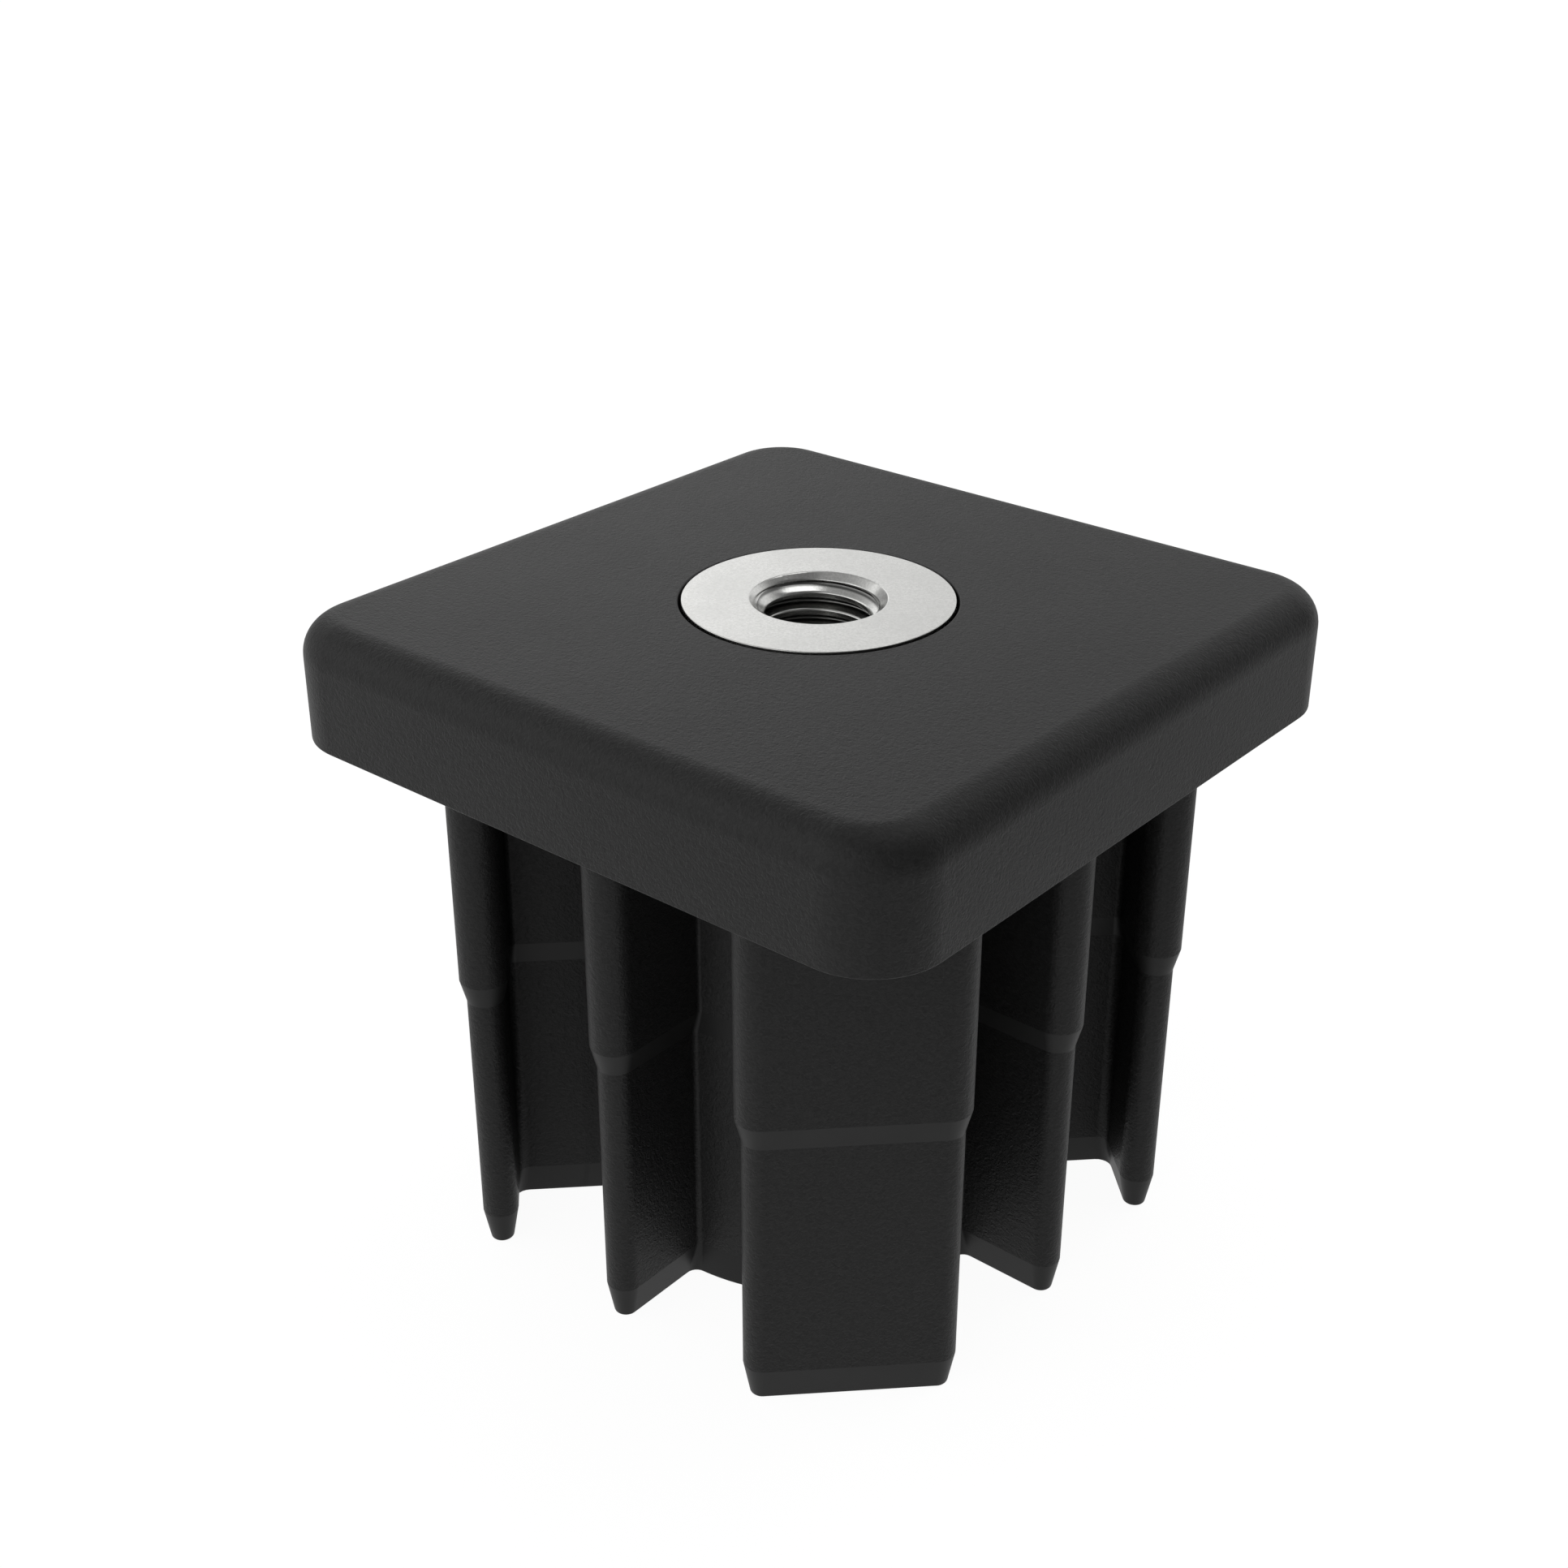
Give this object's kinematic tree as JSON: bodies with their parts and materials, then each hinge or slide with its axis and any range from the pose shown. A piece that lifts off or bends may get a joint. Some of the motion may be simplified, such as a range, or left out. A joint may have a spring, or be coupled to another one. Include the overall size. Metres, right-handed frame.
{
  "type": "threaded tube insert",
  "caption": "Square push-in tube insert: moulded cap with ribbed legs round a hollow core, and a flanged, threaded steel bush in its centre.",
  "frame": {"origin": "on the thread's axis, in the plane where the tube's end meets the underside of the cap", "axes": "+Z along the thread's axis, out of its mouth; X and Y square to the sides of the tube"},
  "size_m": [0.06, 0.06, 0.0551],
  "materials": {
    "black_polyamide": "fine moulded leather grain, satin",
    "satin_steel": "satin, fine blasted"
  },
  "bodies": {
    "root": {"plug_body": "black_polyamide", "threaded_bush": "satin_steel"}
  },
  "joints": []
}
